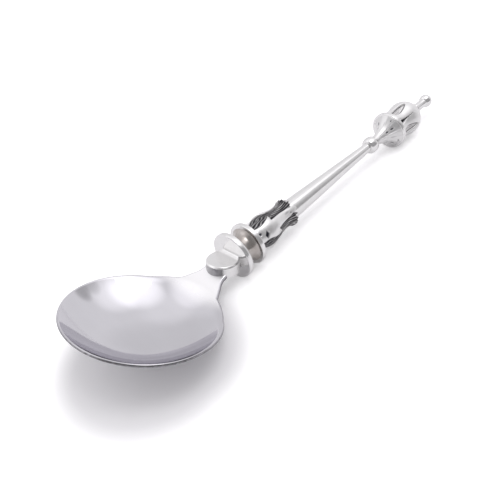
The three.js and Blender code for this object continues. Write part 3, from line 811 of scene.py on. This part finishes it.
class SPOON_OT_stem(bpy.types.Operator):
    """Turn the long tapering stem with its hidden tenon, and the bead at its thin end"""

    bl_idname = "spoon.stem"
    bl_label = "Stem and bead"
    columns, taper_rows, bead_rows = 192, 40, 49
    thin_end, tenon, overlap = 2.45, 3.9, 0.6
    bead_fullness = 0.8

    def execute(self, context):
        """The stem is a straight taper over a tenon. The bead's section is a full half ellipse."""
        first, last = stations("stem")
        shoulder = stations("calyx_core")[1] - self.overlap
        taper = np.linspace(0, 1, self.taper_rows)
        line = np.stack((shoulder + (last + SNUG - shoulder) * taper,
                         girth("stem") + (self.thin_end - girth("stem")) * taper), axis=-1)
        tenon = [(first, ROD_BORE), (first, self.tenon), (shoulder, self.tenon)]
        line = np.concatenate((tenon, line, [(last + SNUG, ROD_BORE)]))
        add_piece(context, "stem", "handle_metal", turned(line, self.columns), looped=True)
        first, last = stations("bead_ring")
        bend = np.linspace(0, math.pi, self.bead_rows)
        along = (first + last) / 2 - ((last - first) / 2 + SNUG) * np.cos(bend)
        swell = lengths(context).bead_diameter / 2 - self.thin_end
        section = bored(along, self.thin_end + swell * np.sin(bend) ** self.bead_fullness, ROD_BORE)
        add_piece(context, "bead_ring", "handle_metal", turned(section, self.columns), looped=True)
        return {"FINISHED"}


# Trumpet of four petals

PETALS = 4
PETAL_HALF = 180 / PETALS
# Pits in the valleys, beside a petal's middle and along it, with the turns in degrees of the last two
VALLEY_PITS = (
    Mark(7.4, 0, 0.7, 0.42, depth=0.55, film=1.0),
    Mark(9.9, 0, 0.75, 0.5, depth=0.55, film=1.0),
)
SIDE_PITS, SIDE_TURN = (Mark(11.2, 0, 0.35, 0.45, depth=0.385, film=0.7),), 18
SLITS, SLIT_TURN = (Mark(8.9, 0, 1.2, 0.16, depth=0.1, film=0.45),), -3


class SPOON_OT_trumpet(bpy.types.Operator):
    """Cast the flower-like trumpet of four petals behind the bead"""

    bl_idname = "spoon.trumpet"
    bl_label = "Trumpet"
    columns, rows = 480, 120
    throat, mouth_inset, squareness = 2.5, 0.15, 0.05
    flare_terms = ((0.35, 1.7), (0.65, 3))
    petal_edge, petal_grows = (23, 29), (0.05, 0.5)
    rib_half, rib_height = 5.5, 0.3
    crease_at, crease_half, crease_depth, crease_film = 26.5, 1.6, 0.22, 0.22
    valley_from, valley_film = 0.5, 0.12

    def execute(self, context):
        """Radius grows with powers of the way along. Petals stand proud of it, each with a middle rib and
        a crease along both edges, and the valleys between them carry pits."""
        first, last = stations("trumpet")
        way = np.linspace(0, 1, self.rows)[:, None]
        along = way * (last - first)
        first_turn = context.scene.spoon_turns.petal_turn
        off = np.degrees(nearest_turn(circle(self.columns), first_turn, PETALS)) + 0 * way
        flare = sum(part * way ** power for part, power in self.flare_terms)
        base = self.throat + (girth("trumpet") - self.mouth_inset - self.throat) * flare
        petal = 1 - ramp(np.abs(off), *self.petal_edge)
        crease = bell(np.abs(off) - self.crease_at, self.crease_half)
        grow = ramp(way, *self.petal_grows)
        relief = (lengths(context).petal_height * petal + self.rib_height * bell(off, self.rib_half) * way
                  - self.crease_depth * crease)
        radius = base * (1 - self.squareness * way * (1 - np.cos(np.radians(2 * off)))) + grow * relief
        valley = PETAL_HALF - np.abs(off)
        spots = ((VALLEY_PITS, valley), (SIDE_PITS, off - SIDE_TURN), (SLITS, off - SLIT_TURN))
        depths, films = zip(*(struck(marks, along, np.radians(turns) * radius) for marks, turns in spots))
        in_valley = (1 - petal) * ramp(way, self.valley_from, 1)
        # Painted shade, partly tarnish: darker in the pits, the creases and the valleys
        film = np.maximum.reduce((*films, self.crease_film * crease * grow, self.valley_film * in_valley))
        radius = radius - sum(depths)
        add_sleeve(context, "trumpet", "handle_metal", first + drawn_out(along), radius, ROD_BORE,
                   hollow=film, satin=1.0)
        return {"FINISHED"}


# Bud: pierced shell over a core

BUD_LINE = [(0, 8.7), (2, 8.25), (5.4, 8.05), (9, 8.6), (12, 8.95), (15, 8.5), (17.5, 7.3), (19.6, 5.6),
            (21, 4.1), (21.9, 3.4)]
BUD_WINDOW_FROM, BUD_WINDOW_TO, BUD_WINDOW_SIZE = 0.9, 12.6, 5.13
BUD_WINDOW_FOOT, BUD_WINDOW_POINT, BUD_WINDOW_SLOPE = 0.55, 0.85, 0.85
CLEFT_PITS = (Mark(3.6, 0, 0.55, 0.5, depth=0.5, film=1.0),)
CROWN_PITS = (Mark(18.4, 0, 0.5, 0.55, depth=0.5, film=0.8),)


def bud_window(along, aside):
    """How far a point lies inside a bud window, in mm: round at the foot, pointed at the far end.

    Its half width is a power of the way from the foot times a power of the way from the point.
    """
    least = 1e-6
    way = np.clip((along - BUD_WINDOW_FROM) / (BUD_WINDOW_TO - BUD_WINDOW_FROM), least, 1 - least)
    half = BUD_WINDOW_SIZE * way ** BUD_WINDOW_FOOT * (1 - way) ** BUD_WINDOW_POINT
    outside = np.maximum(BUD_WINDOW_FROM - along, along - BUD_WINDOW_TO)
    return np.minimum((half - np.abs(aside)) * BUD_WINDOW_SLOPE, -outside)


class SPOON_OT_bud(bpy.types.Operator):
    """Cast the pierced bud shell and the engraved core in its windows"""

    bl_idname = "spoon.bud"
    bl_label = "Bud"
    columns, rows = 440, 180
    shell_bore, shell_sunk, window_edge = 2.2, 0.35, 0.55
    cleft_half, cleft_length, cleft_depth, cleft_film = 2.6, 5.6, 1.5, 0.45
    groove_half, groove_fades, cleft_fades, least_half = 0.5, (4, 16), (3, 15), 1e-3
    core_least, core_cover = 2.3, 0.45
    vein_half, vein_height, line_pitch, line_slant, line_depth = 0.55, 0.3, 0.8, 0.12, 0.08
    bright_from, vein_light, line_light, line_mean = (0.05, 0.55), 0.5, 0.35, 0.7

    def execute(self, context):
        first, last = stations("bud_shell")
        depth, first_turn = lengths(context).bud_depth, context.scene.spoon_turns.petal_turn
        along = np.linspace(0, last - first, self.rows)[:, None]
        over = smooth_line(BUD_LINE, along)
        off = nearest_turn(circle(self.columns), first_turn, PETALS) + 0 * along
        inside = bud_window(along, off * over)
        shell, film = self.shell(along, over, off, inside, depth)
        add_sleeve(context, "bud_shell", "handle_metal", first + drawn_out(along), shell, self.shell_bore,
                   hollow=film, satin=1.0)
        core, ridge = self.core(along, over, off * over, inside, depth)
        add_sleeve(context, "bud_core", "dark_recess", first + along, core, ROD_BORE, ridge=ridge)
        return {"FINISHED"}

    def shell(self, along, over, off, inside, depth):
        """The bud's line, less windows with quarter-round edges, V clefts between petals, and pits."""
        between = (math.pi / PETALS - np.abs(off)) * over
        under = over - depth - self.shell_sunk
        rounding = quarter_round(-inside / self.window_edge)
        half = (np.maximum(self.cleft_half * (1 - along / self.cleft_length), 0)
                + self.groove_half * (1 - ramp(along, *self.groove_fades)) + self.least_half)
        cleft = ramp(1 - between / half, 0, 1) * (1 - ramp(along, *self.cleft_fades))
        pit, pit_film = struck(CLEFT_PITS, along, between)
        crown_pit, crown_film = struck(CROWN_PITS, along, off * over)
        radius = under + (over - under) * rounding - self.cleft_depth * cleft - pit - crown_pit
        # Painted shade, partly tarnish, in the clefts and pits
        return radius, np.maximum.reduce((pit_film, crown_film, self.cleft_film * cleft))

    def core(self, along, over, aside, inside, depth):
        """The floor of the windows: the bud's line less their depth, with a raised vein and engraved lines
        beside it, darkest along the windows' edges."""
        vein = bell(aside, self.vein_half)
        lines = 0.5 + 0.5 * np.cos(FULL_TURN * (np.abs(aside) / self.line_pitch + self.line_slant * along))
        floor = over - depth + self.vein_height * vein * ramp(inside, 0, 1)
        radius = np.minimum(floor, over - self.core_cover) + self.line_depth * (lines - 0.5)
        light = 1 + self.vein_light * vein + self.line_light * (lines - self.line_mean)
        return np.maximum(radius, self.core_least), ramp(inside, *self.bright_from) * light


# Finial, and what is hidden inside

class SPOON_OT_finial(bpy.types.Operator):
    """Turn the finial: a small foot, a neck and a ball"""

    bl_idname = "spoon.finial"
    bl_label = "Finial"
    columns, neck_rows, ball_rows = 160, 24, 60
    foot, neck, ball, hole = 3.5, 2.4, 3.45, 7.0
    foot_end, cone_end, neck_start = 0.75, 1.25, 1.7
    neck_lip, neck_waist, easing = 0.1, 0.12, 0.3

    def execute(self, context):
        """A conical foot, a neck drawn in by a sine, and a circle for the ball, turned over the bore."""
        first, last = stations("finial")
        centre = last - self.ball
        join = math.asin(self.neck / self.ball)
        way = np.linspace(0, 1, self.neck_rows)
        start, finish = first + self.neck_start, centre - self.ball * math.cos(join)
        neck_line = np.stack((start + (finish - start) * way,
                              self.neck - self.neck_waist * np.sin(math.pi * way)), axis=-1)
        bend = np.linspace(join, math.pi, self.ball_rows)[1:]
        round_line = np.stack((centre - self.ball * np.cos(bend), self.ball * np.sin(bend)), axis=-1)
        round_line[-1, 1] = 0
        foot_line = eased_line(
            [(first - SNUG, ROD_BORE), (first - SNUG, self.foot), (first + self.foot_end, self.foot),
             (first + self.cone_end, self.neck + self.neck_lip), (start, self.neck)], self.easing)
        hole = [(first + self.hole, 0), (first + self.hole, ROD_BORE)]
        line = np.concatenate((hole, foot_line[:-1], neck_line, round_line))
        add_piece(context, "finial", "handle_metal", turned(line, self.columns))
        return {"FINISHED"}


class SPOON_OT_inner(bpy.types.Operator):
    """Give the hidden rod and pins their drawn steel"""

    bl_idname = "spoon.inner"
    bl_label = "Rod and pins"

    def execute(self, context):
        for node in ("tie_rod", "tang_pin", "bolster_pin"):
            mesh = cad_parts[node].data
            mesh.materials.clear()
            mesh.materials.append(finish_of(context, "inner_steel"))
        return {"FINISHED"}


# Materials

class Nodes:
    """Puts nodes into the tree of a material or of the surroundings."""

    def __init__(self, tree):
        self.tree = tree

    def feed(self, socket, value):
        """Links a socket to another one, or sets its value."""
        if isinstance(value, bpy.types.NodeSocket):
            self.tree.links.new(value, socket)
        else:
            socket.default_value = value

    def add(self, kind, inputs=(), **settings):
        """A new node with its settings and what goes into its sockets."""
        node = self.tree.nodes.new(kind)
        for key, value in settings.items():
            setattr(node, key, value)
        for key, value in dict(inputs).items():
            self.feed(node.inputs[key], value)
        return node

    def reckon(self, operation, *values):
        """Result of one step of arithmetic."""
        return self.add("ShaderNodeMath", enumerate(values), operation=operation).outputs["Value"]

    def attribute(self, name):
        """A share that the mesh carries on its points."""
        return self.add("ShaderNodeAttribute", attribute_name=name).outputs["Fac"]

    def place(self):
        """Object coordinates, in metres."""
        return self.add("ShaderNodeTexCoord").outputs["Object"]

    def blotches(self, scale, detail=3.0, stretch=(1, 1, 1)):
        """A noise on Object coordinates, in features per metre, stretched along the axes."""
        sized = self.add("ShaderNodeMapping", {"Vector": self.place(), "Scale": stretch})
        inputs = {"Vector": sized.outputs["Vector"], "Scale": scale, "Detail": detail}
        return self.add("ShaderNodeTexNoise", inputs).outputs["Fac"]

    def spread(self, noise, low, high, middle_range=(0.3, 0.7)):
        """A noise's middle range spread from low to high."""
        inputs = {"Value": noise, "From Min": middle_range[0], "From Max": middle_range[1],
                  "To Min": low, "To Max": high}
        return self.add("ShaderNodeMapRange", inputs).outputs["Result"]

    def blend(self, factor, low, high):
        """Two colours, of which each may be a socket, mixed by a factor that varies over the surface."""
        mix = self.add("ShaderNodeMix", {"Factor": factor}, data_type="RGBA")
        for name, value in (("A", low), ("B", high)):
            socket = next(s for s in mix.inputs if s.name == name and s.type == "RGBA")
            self.feed(socket, value if isinstance(value, bpy.types.NodeSocket) else (*value, 1))
        return next(s for s in mix.outputs if s.type == "RGBA")

    def mottled(self, rgb, noise, low, high):
        """A colour that a noise carries from a low to a high share of itself."""
        dim, bright = (tuple(channel * part for channel in rgb) for part in (low, high))
        return self.blend(self.spread(noise, low=0, high=1), dim, bright)

    def bump(self, height, strength, distance, **under):
        """A normal bent by a height, over the normal of a coarser bump if one is given."""
        inputs = {"Height": height, "Strength": strength, "Distance": distance, **under}
        return self.add("ShaderNodeBump", inputs).outputs["Normal"]


def made_material(name, recipe, values):
    """The material of that name, made once. Its recipe gives what goes into each socket of the shader."""
    material = bpy.data.materials.get(name)
    if material is None:
        material = bpy.data.materials.new(name)
        material.use_nodes = True
        nodes = Nodes(material.node_tree)
        shader = material.node_tree.nodes["Principled BSDF"]
        for socket, value in recipe(nodes, values).items():
            nodes.feed(shader.inputs[socket], value)
    return material


def finish_of(context, slot):
    """The material of a record's slot."""
    return made_material(*FINISHES[slot], context.scene.spoon_finishes)


def polished_steel(nodes, finish):
    """Mirror-polished steel: long soft undulations, polishing marks across the hollow, and faint smudges.

    The neck's top is a brighter satin, a painted sheen, and the cut edge of the sheet is dull, dark and
    speckled: painted shade for the shadowed table it mirrors.
    """
    satin, smooth = nodes.attribute("satin"), finish.bowl_roughness
    clouds = nodes.blotches(scale=55, stretch=(1, 0.35, 1))
    mirror = nodes.mottled(finish.bowl_steel, clouds, low=0.96, high=1.04)
    # Painted sheen: the satin neck's top takes a brighter colour
    face = nodes.blend(satin, mirror, finish.neck_steel)
    specks = nodes.spread(nodes.blotches(scale=700), low=0.45, high=0.95)
    # Painted shade on the rim's cut edge, speckled
    edge = nodes.reckon("MULTIPLY", nodes.attribute("cut_edge"), specks)
    smudge = nodes.spread(nodes.blotches(scale=110), low=0.75 * smooth, high=1.3 * smooth)
    wide = nodes.blotches(scale=38, detail=1.5, stretch=(1, 0.3, 1))
    fine = nodes.blotches(scale=900, detail=2, stretch=(1, 0.12, 1))
    swell = nodes.bump(wide, strength=0.2, distance=0.0015)
    return {
        "Metallic": 1,
        "Specular Tint": (0.95, 0.945, 0.96, 1),
        "Base Color": nodes.blend(edge, face, finish.cut_edge),
        "Roughness": nodes.reckon("MULTIPLY_ADD", satin, finish.neck_roughness, smudge),
        "Normal": nodes.bump(fine, strength=0.03, distance=0.0002, Normal=swell),
    }


def plated_metal(nodes, finish):
    """Plated and polished white metal: a slightly uneven skin, rougher where it is cast and satin.

    A patchy brownish painted shade lies where its attribute says, for the spool's darker warm reflections,
    and a near-black painted shade, partly tarnish, where the hollow attribute says.
    """
    smooth = finish.handle_roughness
    bright = nodes.mottled(finish.handle_metal, nodes.blotches(scale=160), low=0.97, high=1.02)
    patches = nodes.spread(nodes.blotches(scale=240), low=0.75, high=1)
    # Painted shade on the spool: brownish, in patches
    filmed = nodes.blend(nodes.reckon("MULTIPLY", nodes.attribute("film"), patches), bright, finish.film)
    polish = nodes.spread(nodes.blotches(scale=420), low=0.7 * smooth, high=1.4 * smooth)
    fine = nodes.blotches(scale=2600, detail=1.5, stretch=(0.2, 1, 1))
    skin = nodes.bump(nodes.blotches(scale=330, detail=2), strength=0.07, distance=0.0004)
    return {
        "Metallic": 1,
        # Painted shade, partly tarnish, where the hollow attribute says
        "Base Color": nodes.blend(nodes.attribute("hollow"), filmed, finish.tarnish),
        "Roughness": nodes.reckon("MULTIPLY_ADD", nodes.attribute("satin"), finish.bud_roughness, polish),
        "Normal": nodes.bump(fine, strength=0.03, distance=0.0001, Normal=skin),
    }


def blackened_engraving(nodes, finish):
    """Oxidised engraving: near black in the grooves, worn to grey metal on the ridges."""
    wear = nodes.spread(nodes.blotches(scale=900, detail=4), low=0.65, high=1.15)
    worn = nodes.reckon("MULTIPLY", nodes.attribute("ridge"), wear)
    return {
        "Metallic": 0.85,
        "Base Color": nodes.blend(worn, finish.oxide, finish.worn_ridge),
        "Roughness": nodes.spread(nodes.blotches(scale=1500), low=0.26, high=0.5),
        "Normal": nodes.bump(nodes.blotches(scale=3500, detail=4), strength=0.25, distance=0.0001),
    }


def drawn_steel(nodes, finish):
    """Drawn steel with lengthwise die marks."""
    marks = nodes.blotches(scale=2200, stretch=(0.04, 1, 1))
    return {
        "Metallic": 1,
        "Base Color": nodes.mottled(finish.inner_steel, marks, low=0.85, high=1.08),
        "Roughness": nodes.spread(marks, low=0.24, high=0.42),
        "Normal": nodes.bump(marks, strength=0.2, distance=0.0001),
    }


FINISHES = {
    "bowl_steel": ("polished_steel", polished_steel),
    "handle_metal": ("plated_metal", plated_metal),
    "dark_recess": ("blackened_engraving", blackened_engraving),
    "inner_steel": ("drawn_steel", drawn_steel),
}


# Stage

# Soft areas of the surroundings: azimuth, elevation, inner and outer reach in degrees, and light added
GLOWS = (
    (-115, 0, 62, 95, -0.62),
    (-52, 76, 10, 33, 0.7),
    (-20, 54, 5, 26, 0.34),
    (-15, 26, 1, 10, -0.4),
    (-26, 36, 1, 10, -0.36),
    (125, 48, 4, 24, 0.34),
    (75, 60, 6, 26, 0.12),
    (60, 20, 10, 35, -0.12),
)
# Strength of the surroundings where the camera sees them
ROOM_WHITE = 1.05
# A level square lamp: place and side in metres, and watts
LAMP_PLACE, LAMP_SIDE, LAMP_WATTS = (0.02, -0.15, 0.7), 0.3, 0.5
# The table's glow grows away from the spoon, so weaker glow paints a shadow round it over the rendered one:
# a line's first and last x, its y, and the gaps where the growth starts and ends
CLEARINGS = ((-0.098, -0.09, -0.006, 0.029, 0.047), (-0.05, 0.12, -0.001, -0.012, 0.013))
NEAR_GLOW, FAR_GLOW = 0.06, 0.5
# The table's rings and spokes, in metres, a hair below what lies on it
FLOOR_NEAR, FLOOR_FAR, FLOOR_RINGS, FLOOR_SPOKES, FLOOR_HEIGHT = 0.05, 6, 12, 64, -1e-5
CAMERA_PLACE = (-0.18586, -0.18907, 0.21328)
CAMERA_TURN = (49.502, 8.563, -47.211)
SENSOR_WIDTH, CLIP_START = 36, 0.01


def aim(azimuth, elevation):
    """Unit vector at an angle round the table from +X toward +Y and at a height above it, in degrees."""
    a, e = math.radians(azimuth), math.radians(elevation)
    return Vector((math.cos(a) * math.cos(e), math.sin(a) * math.cos(e), math.sin(e)))


def white_table(nodes, stage):
    """White matt table with a glow of its own, faint in mirrored rays.

    For the camera the glow grows with the gap to two lines under the spoon, so that its shadow stays, and
    the weaker glow near it paints a shadow round the spoon over the rendered one.
    """
    path = nodes.add("ShaderNodeLightPath").outputs
    place = nodes.add("ShaderNodeSeparateXYZ", {0: nodes.place()}).outputs
    clear = 1
    for first, last, aside, near, far in CLEARINGS:
        beside = nodes.add("ShaderNodeClamp", {"Value": place["X"], "Min": first, "Max": last})
        ahead = nodes.reckon("SUBTRACT", place["X"], beside.outputs["Result"])
        across = nodes.reckon("SUBTRACT", place["Y"], aside)
        away = nodes.add("ShaderNodeCombineXYZ", {"X": ahead, "Y": across}).outputs["Vector"]
        gap = nodes.add("ShaderNodeVectorMath", {0: away}, operation="LENGTH").outputs["Value"]
        rise = nodes.add("ShaderNodeMapRange", {"Value": gap, "From Min": near, "From Max": far},
                         interpolation_type="SMOOTHSTEP")
        clear = nodes.reckon("MULTIPLY", clear, rise.outputs["Result"])
    # Painted shadow: least glow near the spoon
    white = nodes.add("ShaderNodeMapRange", {"Value": clear, "To Min": NEAR_GLOW, "To Max": FAR_GLOW})
    mirrored = nodes.reckon("MAXIMUM", path["Is Glossy Ray"], path["Is Transmission Ray"])
    faint = nodes.reckon("MULTIPLY", mirrored, NEAR_GLOW)
    return {
        "Base Color": nodes.mottled(stage.floor, nodes.blotches(scale=9), low=0.995, high=1.005),
        "Roughness": 0.85,
        "Specular IOR Level": 0.1,
        "Emission Color": (1, 1, 1, 1),
        "Emission Strength": nodes.reckon(
            "MULTIPLY_ADD", path["Is Camera Ray"], white.outputs["Result"], faint),
    }


class SPOON_OT_stage(bpy.types.Operator):
    """Set up the white table, the soft light, the pale room and the camera"""

    bl_idname = "spoon.stage"
    bl_label = "Stage"

    def execute(self, context):
        stage = context.scene.spoon_stage
        self.make_floor(context, stage)
        self.make_room(context, stage)
        self.hang_lamp(context)
        self.set_camera(context, stage)
        context.scene.view_settings.view_transform = "Standard"
        return {"FINISHED"}

    def make_floor(self, context, stage):
        """A large disc of rings and spokes, whose radii grow by an equal factor, at the table's height."""
        rings = np.geomspace(FLOOR_NEAR, FLOOR_FAR, FLOOR_RINGS)
        radius, angle = np.concatenate(([0.0], rings))[:, None], circle(FLOOR_SPOKES)
        spots = np.broadcast_arrays(radius * np.cos(angle), radius * np.sin(angle), FLOOR_HEIGHT)
        floor = bpy.data.objects.new("Floor", grid_mesh("Floor", np.stack(spots, axis=-1)))
        context.scene.collection.objects.link(floor)
        floor.data.materials.append(made_material("white_table", white_table, stage))

    def make_room(self, context, stage):
        """Even pale surroundings, raised or lowered in soft round areas by the angle from their middles."""
        world = bpy.data.worlds.new("Room")
        context.scene.world = world
        world.use_nodes = True
        nodes = Nodes(world.node_tree)
        direction = nodes.add("ShaderNodeTexCoord").outputs["Generated"]
        level = 1
        for azimuth, elevation, inner, outer, light in GLOWS:
            facing = nodes.add("ShaderNodeVectorMath", {0: direction, 1: aim(azimuth, elevation)},
                               operation="DOT_PRODUCT").outputs["Value"]
            inner, outer = math.cos(math.radians(inner)), math.cos(math.radians(outer))
            area = nodes.add("ShaderNodeMapRange",
                             {"Value": facing, "From Min": outer, "From Max": inner, "To Max": light},
                             interpolation_type="SMOOTHSTEP").outputs["Result"]
            level = nodes.reckon("ADD", level, area)
        seen = nodes.add("ShaderNodeLightPath").outputs["Is Camera Ray"]
        strength = nodes.add("ShaderNodeMix", {"Factor": seen, "A": level, "B": ROOM_WHITE})
        background = world.node_tree.nodes["Background"]
        nodes.feed(background.inputs["Color"], (*stage.surroundings, 1))
        nodes.feed(background.inputs["Strength"], strength.outputs["Result"])

    def hang_lamp(self, context):
        """A square area lamp that shines straight down."""
        lamp = bpy.data.lights.new("Softbox", "AREA")
        lamp.shape, lamp.size, lamp.energy = "SQUARE", LAMP_SIDE, LAMP_WATTS
        holder = bpy.data.objects.new("Softbox", lamp)
        holder.location = LAMP_PLACE
        context.scene.collection.objects.link(holder)

    def set_camera(self, context, stage):
        """The camera at the photograph's viewing angle."""
        camera = bpy.data.objects.new("Camera", bpy.data.cameras.new("Camera"))
        camera.data.lens, camera.data.sensor_width = stage.lens, SENSOR_WIDTH
        camera.data.clip_start = CLIP_START
        camera.location = CAMERA_PLACE
        camera.rotation_euler = Euler([math.radians(angle) for angle in CAMERA_TURN])
        context.scene.collection.objects.link(camera)
        context.scene.camera = camera


# Panel and registration

class SPOON_PT_panel(bpy.types.Panel):
    """Sizes, finishes and build steps of the spoon"""

    bl_label = "Serving spoon"
    bl_idname = "SPOON_PT_panel"
    bl_space_type = "VIEW_3D"
    bl_region_type = "UI"
    bl_category = "Spoon"

    def draw(self, context):
        for name, group in PROPERTY_GROUPS.items():
            box = self.layout.box()
            for label in group.__annotations__:
                box.prop(getattr(context.scene, name), label)
        for operator in OPERATORS:
            self.layout.operator(operator.bl_idname)


PROPERTY_GROUPS = {
    "spoon_sizes": SpoonSizes,
    "spoon_turns": SpoonTurns,
    "spoon_finishes": SpoonFinishes,
    "spoon_stage": SpoonStage,
}
OPERATORS = (
    SPOON_OT_bowl,
    SPOON_OT_bolster,
    SPOON_OT_collars,
    SPOON_OT_spool,
    SPOON_OT_calyx,
    SPOON_OT_stem,
    SPOON_OT_trumpet,
    SPOON_OT_bud,
    SPOON_OT_finial,
    SPOON_OT_inner,
    SPOON_OT_stage,
)


def register():
    """Registers the property groups, operators and panel."""
    for name, group in PROPERTY_GROUPS.items():
        bpy.utils.register_class(group)
        setattr(bpy.types.Scene, name, bpy.props.PointerProperty(type=group))
    for operator in OPERATORS:
        bpy.utils.register_class(operator)
    bpy.utils.register_class(SPOON_PT_panel)


def unregister():
    """Takes back what register has added."""
    bpy.utils.unregister_class(SPOON_PT_panel)
    for operator in reversed(OPERATORS):
        bpy.utils.unregister_class(operator)
    for name, group in PROPERTY_GROUPS.items():
        delattr(bpy.types.Scene, name)
        bpy.utils.unregister_class(group)


def main():
    """Builds every piece and the stage."""
    register()
    bpy.ops.spoon.bowl()
    bpy.ops.spoon.bolster()
    bpy.ops.spoon.collars()
    bpy.ops.spoon.spool()
    bpy.ops.spoon.calyx()
    bpy.ops.spoon.stem()
    bpy.ops.spoon.trumpet()
    bpy.ops.spoon.bud()
    bpy.ops.spoon.finial()
    bpy.ops.spoon.inner()
    bpy.ops.spoon.stage()


if __name__ == "__main__":
    main()
